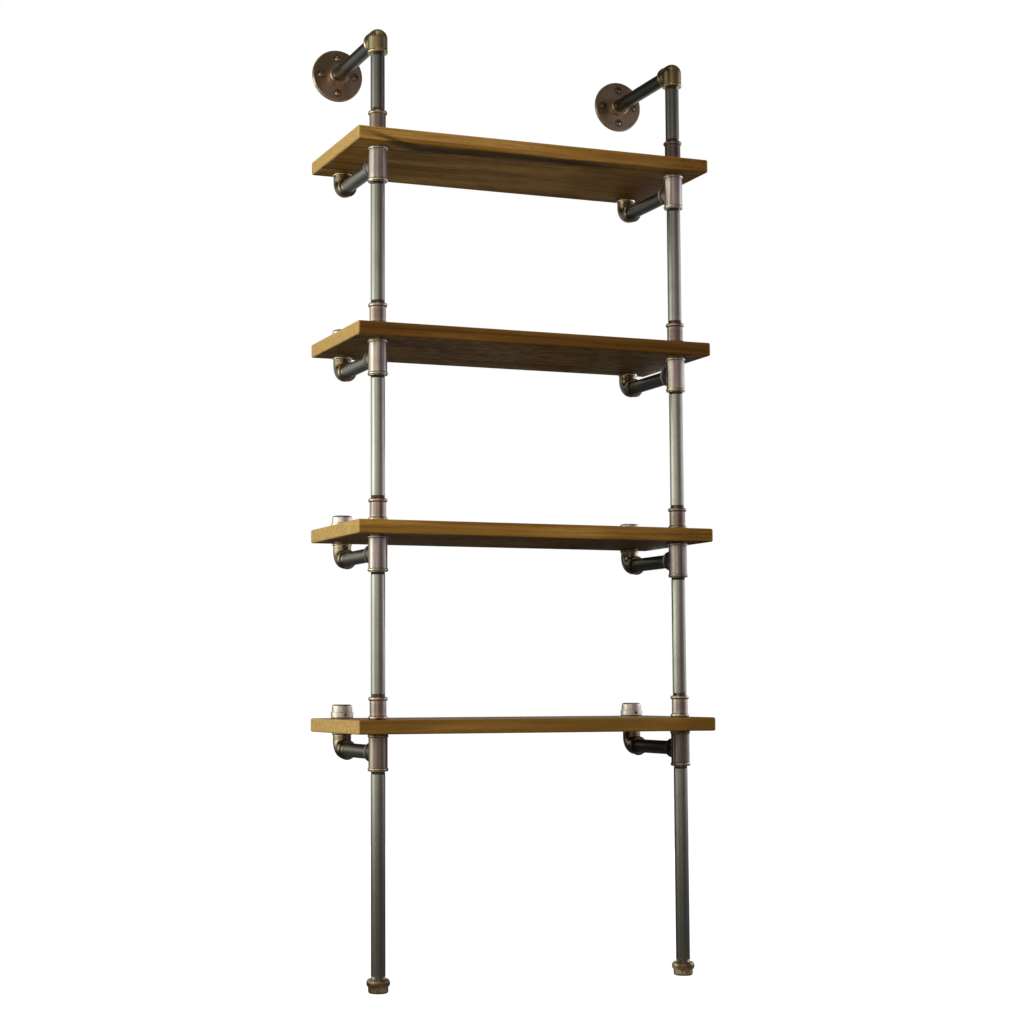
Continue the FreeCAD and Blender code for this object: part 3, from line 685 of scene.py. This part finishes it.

# %% Dress the castings
# Words in a node's name: its colours (pale, deep, and the pale edges from wear and painted
# highlight), its roughness and what is special. Of several words that a name holds, the last
# counts.
CASTINGS = {
    "_tee_": (((0.74, 0.665, 0.57), (0.43, 0.350, 0.36), (0.96, 0.88, 0.60)), 0.27,
              {"burnished": 0.94, "marks": bead_marks("right_tee_1", TEE_BODY_R)}),
    # The lowest tees take a darker copy of the tee finish: painted shade.
    "_tee_4": (((0.49, 0.400, 0.32), (0.28, 0.212, 0.190), (0.86, 0.74, 0.48)), 0.27,
               {"burnished": 0.94, "marks": bead_marks("right_tee_1", TEE_BODY_R)}),
    "coupling": (((0.50, 0.410, 0.350), (0.29, 0.224, 0.210), (0.76, 0.61, 0.47)), 0.28,
                 {"burnished": 0.92, "marks": bead_marks("right_coupling_1", COUPLING_BODY_R)}),
    "elbow": (((0.42, 0.330, 0.225), (0.22, 0.160, 0.100), (0.95, 0.82, 0.55)), 0.24,
              {"marks": elbow_marks}),
    "top_elbow": (((0.97, 0.760, 0.345), (0.54, 0.385, 0.255), (0.72, 0.57, 0.34)), 0.22,
                  {"burnished": 0.35, "speckle": 0.06}),
    "rear_caps": (((0.95, 0.87, 0.79), (0.80, 0.71, 0.66), (0.95, 0.90, 0.80)), 0.36,
                  {"speckle": 0.10, "patina_and_shade": 0.30}),
    "foot_cap": (((0.98, 0.83, 0.58), (0.20, 0.135, 0.09), (0.98, 0.86, 0.55)), 0.42,
                 {"grain_per_metre": 300, "speckle": 1.0}),
    "flange": (((0.74, 0.560, 0.420), (0.46, 0.330, 0.205), (0.90, 0.74, 0.48)), 0.34,
               {"grain_per_metre": 520, "speckle": 0.55, "marks": flange_marks}),
    "screws": (((0.55, 0.430, 0.280), (0.20, 0.145, 0.100), (0.85, 0.72, 0.48)), 0.18,
               {"marks": screw_marks, "patina_and_shade": 0.85}),
    "set_screws": (((0.035, 0.030, 0.026), (0.020, 0.017, 0.015), (0.12, 0.10, 0.08)), 0.45, {}),
}
# Painted light and shade: these castings take their kind's finish made lighter or darker by a
# share, as lit and shaded copies of it.
PAINTED_LIGHT = {
    "left_coupling_1": 1.07, "left_coupling_2": 1.24, "left_coupling_3": 1.18,
    "left_coupling_4": 1.30, "right_coupling_1": 0.60, "right_coupling_2": 1.06,
    "right_coupling_3": 0.77, "right_coupling_4": 1.60,
    "left_tee_1": 1.13, "left_tee_4": 1.18,
    "right_tee_1": 1.35, "right_tee_3": 0.82, "right_tee_4": 0.92,
    "left_rear_elbow_1": 0.80, "right_rear_elbow_1": 1.35, "right_rear_elbow_2": 0.90,
    "right_rear_elbow_3": 0.62, "left_top_elbow": 1.12, "right_top_elbow": 0.84,
    "right_wall_flange": 1.15, "left_foot_cap": 0.74}
bronzes = {}
for node_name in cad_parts:
    words = [word for word in CASTINGS if word in node_name]
    if not words:
        continue
    word = words[-1]
    light_share = PAINTED_LIGHT.get(node_name, 1.0)
    if (word, light_share) not in bronzes:
        colours, gloss, special = CASTINGS[word]
        name = "bronze_" + (node_name if node_name in PAINTED_LIGHT else word.strip("_"))
        bronzes[word, light_share] = casting_finish(name, *colours, gloss, light_share=light_share, **special)
    dress(node_name, bronzes[word, light_share])
print(len(bronzes), "casting finishes")

# %% [markdown]
# ## Threads of the wall screws
#
# Behind each flange four screws stand out, which the wall hides. In the CAD model they are plain.
# A real thread is a ridge that climbs around the shank. A bump texture would only shade it, so it
# is made as a lathe would cut it: a small triangle is swept along a helix by the Screw modifier.
# It is made once at the origin, its ends are closed, and a copy goes to each of the eight screws.

# %% Sweep one thread
SHANK_R = 0.0024
SCREW_REACH = 0.030
SCREW_POINT = 0.007
THREAD_RISE = 0.0019        # one turn
RIDGE = 0.00055             # from the middle of the triangle to its corners
STEPS = 16                  # in one turn
turns = int((SCREW_REACH - SCREW_POINT) / THREAD_RISE)

bpy.ops.object.select_all(action="DESELECT")
bpy.ops.mesh.primitive_circle_add(vertices=3, radius=RIDGE, location=(SHANK_R, 0, 0),
                                  rotation=(math.pi / 2, math.pi / 2, 0))
first_thread = bpy.context.object
bpy.ops.object.transform_apply(location=True, rotation=True, scale=True)
sweep = first_thread.modifiers.new("helix", "SCREW")
sweep.axis = "Z"
sweep.steps = STEPS
sweep.render_steps = STEPS
sweep.screw_offset = THREAD_RISE
sweep.iterations = turns
bpy.ops.object.modifier_apply(modifier="helix")
bpy.ops.object.mode_set(mode="EDIT")
bpy.ops.mesh.select_all(action="SELECT")
bpy.ops.mesh.fill_holes(sides=4)
bpy.ops.mesh.normals_make_consistent(inside=False)
bpy.ops.object.mode_set(mode="OBJECT")
print(turns, "turns,", len(first_thread.data.polygons), "faces")

# %% A thread on every screw
for side, middle_x in (("left", -FLANGE_X), ("right", FLANGE_X)):
    for quarter in range(4):
        angle = math.radians(90 * quarter)
        thread = first_thread.copy()
        thread.data = first_thread.data.copy()
        thread.name = f"screw_thread_{side}_{quarter + 1}"
        bpy.context.scene.collection.objects.link(thread)
        at = Vector((middle_x + SCREW_CIRCLE_R * math.cos(angle), RIDGE,
                     SCREW_CIRCLE_R * math.sin(angle)))
        thread.data.transform(Matrix.Translation(at) @ Matrix.Rotation(-math.pi / 2, 4, "X"))
        thread.data.materials.append(bronzes["screws", 1.0])
        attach(thread, "root")
bpy.data.objects.remove(first_thread)
print("8 threads")

# %% [markdown]
# ## Studio
#
# The background is plain white. More light would get it there, but would also bleach the boards.
# It gets there by its own colour instead: rays that come straight from the camera or from a
# reflection see the world and the floor as white, while the lamps stay soft and even.

# %% White world
def seen_directly(tree):
    """1 for a ray from the camera, or one that reached it by a reflection or through glass."""
    ray = add_node(tree, "LightPath").outputs
    glossy = reckon(tree, "MAXIMUM", ray["Is Glossy Ray"], ray["Is Transmission Ray"])
    return reckon(tree, "MAXIMUM", ray["Is Camera Ray"], glossy)


world = bpy.data.worlds.new("white_studio")
bpy.context.scene.world = world
world.use_nodes = True
tree = world.node_tree
tree.nodes.clear()
soft = add_node(tree, "Background", {"Color": (0.93, 0.96, 1.0, 1), "Strength": 0.42})
white = add_node(tree, "Background", {"Color": (1, 1, 1, 1), "Strength": 1.0})
both = add_node(tree, "MixShader", {0: seen_directly(tree), 1: soft.outputs[0],
                                    2: white.outputs[0]})
add_node(tree, "OutputWorld", {"Surface": both.outputs[0]})
print("white world")

# %% Pale floor
FLOOR_GREY = (0.30, 0.30, 0.30, 1)
FLOOR_GLOW = 0.92

bpy.ops.mesh.primitive_plane_add(size=60, location=(0, 0, floor_z))
floor = bpy.context.object
floor.name = "studio_floor"
floor_finish = bpy.data.materials.new("pale_floor")
floor_finish.use_nodes = True
tree = floor_finish.node_tree
tree.nodes.clear()
matt = add_node(tree, "BsdfDiffuse", {"Color": FLOOR_GREY})
glow = add_node(tree, "Emission", {"Strength": reckon(tree, "MULTIPLY", seen_directly(tree),
                                                      FLOOR_GLOW)})
whole = add_node(tree, "AddShader", {0: matt.outputs[0], 1: glow.outputs[0]})
add_node(tree, "OutputMaterial", {"Surface": whole.outputs[0]})
floor.data.materials.append(floor_finish)
print("floor at", round(floor_z, 3), "m")

# %% [markdown]
# ## The room in the metal
#
# Metal looks like what it mirrors, so it needs a room. A picture of one could be wrapped around
# the world, but two ramps on a wide drum are easier to steer: one gives the colour in each
# direction, and the other the strength at each height. Only reflections see the drum. A tall
# window on the left fades into a weaker band towards the front. The front right is dark, a
# pale cool strip stands on the right, and the back is slate grey. The room is dark near the floor
# and the ceiling.

# %% Surfaces that only reflections see
def ramp_of(tree, share, stops):
    """A colour ramp with a stop at every (position, colour)."""
    ramp = add_node(tree, "ValToRGB", {"Fac": share})
    elements = ramp.color_ramp.elements
    while len(elements) < len(stops):
        elements.new(0.5)
    for element, (position, colour) in zip(elements, stops):
        element.position = position
        element.color = (*colour, 1)
    return ramp.outputs["Color"]


def grey_ramp(tree, place, tall, steps):
    """Greys up an object of this height: a step is a height above its foot and a grey there."""
    share = reckon(tree, "MULTIPLY_ADD", xyz(tree, place)[2], 1 / tall, 0.5)
    return ramp_of(tree, share, [(height / tall, (grey,) * 3) for height, grey in steps])


def mirrored_only(name, obj, emission=None, tint=None, strength=1.0):
    """Make a plain glowing or tinted surface of an object, which only reflections see."""
    finish = bpy.data.materials.new(name)
    finish.use_nodes = True
    tree = finish.node_tree
    tree.nodes.clear()
    if tint:
        surface = add_node(tree, "BsdfTransparent", {"Color": tint})
    else:
        surface = add_node(tree, "Emission", {"Color": emission, "Strength": strength})
    add_node(tree, "OutputMaterial", {"Surface": surface.outputs[0]})
    obj.data.materials.append(finish)
    obj.name = name
    obj.visible_camera = False
    obj.visible_diffuse = False
    obj.visible_shadow = False
    obj.visible_transmission = False
    obj.visible_volume_scatter = False
    return tree, surface


print("helpers for mirrored surfaces ready")

# %% The drum, its floor and its ceiling
DRUM_R = 3.2
DRUM_HEIGHT = 3.6
DRUM_CENTRE_Y = -0.15
DRUM_SIDES = 96

# Angle from the front, positive to the right, in degrees: colour there.
ROOM = [(-180, (0.26, 0.27, 0.28)), (-150, (0.28, 0.29, 0.30)), (-130, (0.95, 1.00, 0.90)),
        (-112, (1.80, 1.90, 1.58)), (-92, (2.15, 2.24, 1.86)), (-75, (1.15, 1.17, 1.00)),
        (-60, (0.72, 0.71, 0.63)), (-44, (0.88, 0.83, 0.76)), (-32, (0.64, 0.57, 0.54)),
        (-18, (0.50, 0.42, 0.40)), (-4, (0.37, 0.305, 0.30)), (10, (0.24, 0.20, 0.20)),
        (28, (0.18, 0.16, 0.165)), (42, (0.27, 0.25, 0.26)), (58, (0.50, 0.49, 0.52)),
        (72, (0.74, 0.74, 0.79)), (88, (1.02, 1.04, 1.10)), (102, (1.08, 1.12, 1.18)),
        (118, (0.70, 0.72, 0.78)), (136, (0.42, 0.42, 0.42)), (158, (0.40, 0.39, 0.38)),
        (179, (0.28, 0.28, 0.26))]
# Height above the floor in metres: strength there.
ROOM_HEIGHTS = [(0.0, 0.09), (0.35, 0.60), (0.80, 1.20), (1.40, 1.32), (2.05, 1.0),
                (2.25, 0.80), (2.45, 0.34), (2.70, 0.26), (3.0, 0.20), (3.6, 0.15)]
LIDS = {"mirrored_floor": (floor_z + 0.0005, (0.05, 0.048, 0.045, 1)),
        "mirrored_ceiling": (floor_z + DRUM_HEIGHT, (0.09, 0.082, 0.066, 1))}

bpy.ops.mesh.primitive_cylinder_add(vertices=DRUM_SIDES, radius=DRUM_R, depth=DRUM_HEIGHT,
                                    end_fill_type="NOTHING",
                                    location=(0, DRUM_CENTRE_Y, floor_z + DRUM_HEIGHT / 2))
tree, glow = mirrored_only("mirrored_room", bpy.context.object, emission=(1, 1, 1, 1))
place = add_node(tree, "TexCoord").outputs["Object"]
# The radial gradient is 0.5 along +X, so a quarter turn puts the front, -Y, there.
turned = add_node(tree, "Mapping", {"Vector": place, "Rotation": (0, 0, math.pi / 2)})
around = add_node(tree, "TexGradient", {"Vector": turned.outputs[0]}, gradient_type="RADIAL")
colour = ramp_of(tree, around.outputs["Fac"],
                 [(angle / 360 + 0.5, colour) for angle, colour in ROOM])
tree.links.new(colour, glow.inputs["Color"])
tree.links.new(grey_ramp(tree, place, DRUM_HEIGHT, ROOM_HEIGHTS), glow.inputs["Strength"])

for name, (height, colour) in LIDS.items():
    bpy.ops.mesh.primitive_circle_add(vertices=DRUM_SIDES, radius=DRUM_R, fill_type="NGON",
                                      location=(0, DRUM_CENTRE_Y, height))
    mirrored_only(name, bpy.context.object, emission=colour)
print("mirrored room of", DRUM_R, "m")

# %% [markdown]
# ## Cards and flags
#
# A piece also mirrors what stands close to it, and the far drum can't give one fitting a light
# that the next one lacks. Studios solve this with small glowing cards and dark flags, and so does
# this one. A veil dims the window for the right upright, which stands behind it. A skylight hangs
# over each top elbow. Pale cards lie under the boards beside the tees and the rear elbows, a
# narrow one stands right of each rear elbow, a brown one lies at each foot, and dark flags hang
# beside the lower right brackets. Each is seen by reflections alone, and a card that could be met
# from behind glows on one side only.

# %% Helpers for cards
CARD_GAP = 0.001            # from a board or the floor to its card


def lay_plane(at, size, turn=(0, 0, 0)):
    """A plane of a size, turned and placed, with its turn and size applied to its mesh."""
    bpy.ops.mesh.primitive_plane_add(size=1, rotation=turn, location=at)
    plane = bpy.context.object
    plane.scale = (*size, 1)
    bpy.ops.object.transform_apply(location=False, rotation=True, scale=True)
    return plane


def one_sided_card(name, centre, size, colour, strength=1.0, turn=(math.pi, 0, 0)):
    """A glowing card that only a ray which meets its face sees. By default it faces down."""
    card = lay_plane(centre, size, turn)
    tree, glow = mirrored_only(name, card, emission=colour, strength=strength)
    behind = add_node(tree, "NewGeometry").outputs["Backfacing"]
    clear = add_node(tree, "BsdfTransparent")
    one_sided = add_node(tree, "MixShader", {0: behind, 1: glow.outputs[0],
                                             2: clear.outputs[0]})
    tree.links.new(one_sided.outputs[0], tree.nodes["Material Output"].inputs["Surface"])


print("helpers for cards ready")

# %% A veil beside the right upright
VEIL_X, VEIL_Y = 0.22, -0.125
VEIL_DEPTH = 0.45
# Height above the floor in metres: what it lets through there.
VEIL_HEIGHTS = [(0.0, 0.66), (0.48, 0.70), (0.56, 0.95), (0.74, 0.98), (0.82, 0.80),
                (0.88, 0.84), (0.94, 0.98), (1.10, 1.0), (1.20, 0.86), (1.40, 0.74),
                (1.64, 0.38), (2.40, 0.25)]
tall = VEIL_HEIGHTS[-1][0]
veil = lay_plane((VEIL_X, VEIL_Y, floor_z + tall / 2), (tall, VEIL_DEPTH),
                 (0, math.pi / 2, 0))
tree, clear = mirrored_only("mirrored_veil", veil, tint=(1, 1, 1, 1))
place = add_node(tree, "TexCoord").outputs["Object"]
tree.links.new(grey_ramp(tree, place, tall, VEIL_HEIGHTS), clear.inputs["Color"])
print("veil", tall, "m tall")

# %% Skylights over the top elbows
SKYLIGHTS = {"left": 0.50, "right": 0.12}   # strengths
SKYLIGHT_SIZE = (0.95, 2.6)                 # long towards the camera
SKYLIGHT_DROP = 0.02                        # below the ceiling
for side, strength in SKYLIGHTS.items():
    low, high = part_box(f"{side}_top_elbow")
    elbow = (low + high) / 2
    towards = Vector((EYE.x - elbow.x, EYE.y - elbow.y, 0)).normalized()
    at = Vector((elbow.x, elbow.y, floor_z + DRUM_HEIGHT - SKYLIGHT_DROP)) + towards
    card = lay_plane(at, SKYLIGHT_SIZE, (0, 0, math.atan2(-towards.x, towards.y)))
    mirrored_only(f"mirrored_skylight_{side}", card, emission=(1.0, 0.95, 0.80, 1),
                  strength=strength)
    print(side, "skylight of", strength)

# %% Cards under the boards
TEE_CARD, TEE_ASIDE = (0.24, 0.10), 0.020
TEE_CARD_COLOUR = (1.0, 0.93, 0.80, 1)
ELBOW_CARD, ELBOW_ASIDE = (0.070, 0.030), 0.010
ELBOW_CARD_COLOUR = (1.0, 0.92, 0.72, 1)
ELBOW_CARD_GLOW = 0.9
ELBOW_AHEAD, GLINT_AHEAD = 0.015, 0.010     # of the elbow's upright arm
GLINT_CARD, GLINT_ASIDE = (0.016, 0.080), 0.045
GLINT_COLOUR = (0.94, 0.98, 1.0, 1)
GLINTS = {"left": 1.0, "right": 3.0}
for number in (1, 2, 3):
    board_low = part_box(f"shelf_{number}")[0]
    level = board_low.z - CARD_GAP
    tee_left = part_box(f"right_tee_{number}")[0].x
    one_sided_card(f"mirrored_card_{number}",
                   (tee_left - TEE_ASIDE - TEE_CARD[0] / 2, board_low.y + TEE_CARD[1] / 2, level),
                   TEE_CARD, TEE_CARD_COLOUR)
    for side in ("left", "right"):
        elbow_low, elbow_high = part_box(f"{side}_rear_elbow_{number}")
        arm_y = elbow_high.y - (elbow_high.x - elbow_low.x) / 2
        one_sided_card(f"mirrored_spot_{side}_{number}",
                       (elbow_low.x - ELBOW_ASIDE - ELBOW_CARD[0] / 2, arm_y - ELBOW_AHEAD,
                        level),
                       ELBOW_CARD, ELBOW_CARD_COLOUR, ELBOW_CARD_GLOW)
        one_sided_card(f"mirrored_glint_{side}_{number}",
                       (elbow_high.x + GLINT_ASIDE, arm_y - GLINT_AHEAD,
                        level - GLINT_CARD[0] / 2),
                       GLINT_CARD, GLINT_COLOUR, GLINTS[side], (0, -math.pi / 2, 0))
print("cards under the three upper boards")

# %% Cards at the feet and flags beside the lower right brackets
FOOT_CARD, FOOT_AHEAD = (0.14, 0.14), 0.02
FOOT_BROWN = (0.19, 0.145, 0.095, 1)
FLAG, FLAG_ASIDE, FLAG_BACK = (0.15, 0.34), 0.10, 0.09
FLAG_GLOW = {2: 0.045, 3: 0.015, 4: 0.020}
for side in ("left", "right"):
    foot_low, foot_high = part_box(f"{side}_foot_cap")
    one_sided_card(f"mirrored_foot_card_{side}",
                   ((foot_low.x + foot_high.x) / 2, foot_low.y - FOOT_AHEAD, floor_z + CARD_GAP),
                   FOOT_CARD, FOOT_BROWN, turn=(0, 0, 0))
for number, grey in FLAG_GLOW.items():
    bracket_low, bracket_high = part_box(f"right_bracket_pipe_{number}")
    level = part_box(f"shelf_{number}")[0].z - CARD_GAP
    flag = lay_plane((bracket_low.x - FLAG_ASIDE, bracket_high.y + FLAG_BACK, level - FLAG[0] / 2),
                     FLAG, (0, math.pi / 2, 0))
    mirrored_only(f"mirrored_flag_{number}", flag, emission=(grey, grey, grey, 1))
print("2 foot cards,", len(FLAG_GLOW), "flags")

# %% [markdown]
# ## Lamps
#
# A window-sized lamp on the left is the main light, so the left ends of the boards are brightest
# and the fronts about half as bright. A wide one above lights the tops, and two weak ones keep
# the front and the back from going dark. Small lamps would throw hard shadows, so all four are
# large, and reflections don't see them, because the room is what the metal mirrors.

# %% Hang the lamps
LAMPS = {
    "window_left": {"at": (-2.5, -0.7, -0.5), "size": (2.2, 2.2), "watts": 46,
                    "colour": (1.0, 0.98, 0.92)},
    "sky_above": {"at": (-0.3, -0.8, 1.6), "size": (2.6, 2.6), "watts": 30,
                  "colour": (0.95, 0.97, 1.0)},
    "fill_front": {"at": (-0.6, -3.4, -0.3), "size": (2.4, 2.4), "watts": 30,
                   "colour": (1.0, 0.98, 0.95)},
    "fill_back": {"at": (1.6, 2.4, -0.7), "size": (2.4, 2.4), "watts": 30,
                  "colour": (0.96, 0.98, 1.0)},
}
AIM = Vector((0, -0.15, -0.9))
for name, lamp in LAMPS.items():
    bpy.ops.object.light_add(type="AREA", location=lamp["at"])
    light = bpy.context.object
    light.name = name
    light.data.shape = "RECTANGLE"
    light.data.size, light.data.size_y = lamp["size"]
    light.data.energy = lamp["watts"]
    light.data.color = lamp["colour"]
    light.rotation_euler = (AIM - light.location).to_track_quat("-Z", "Y").to_euler()
    light.visible_glossy = False
    print(name, lamp["watts"], "W")

bpy.context.scene.view_settings.view_transform = "Standard"
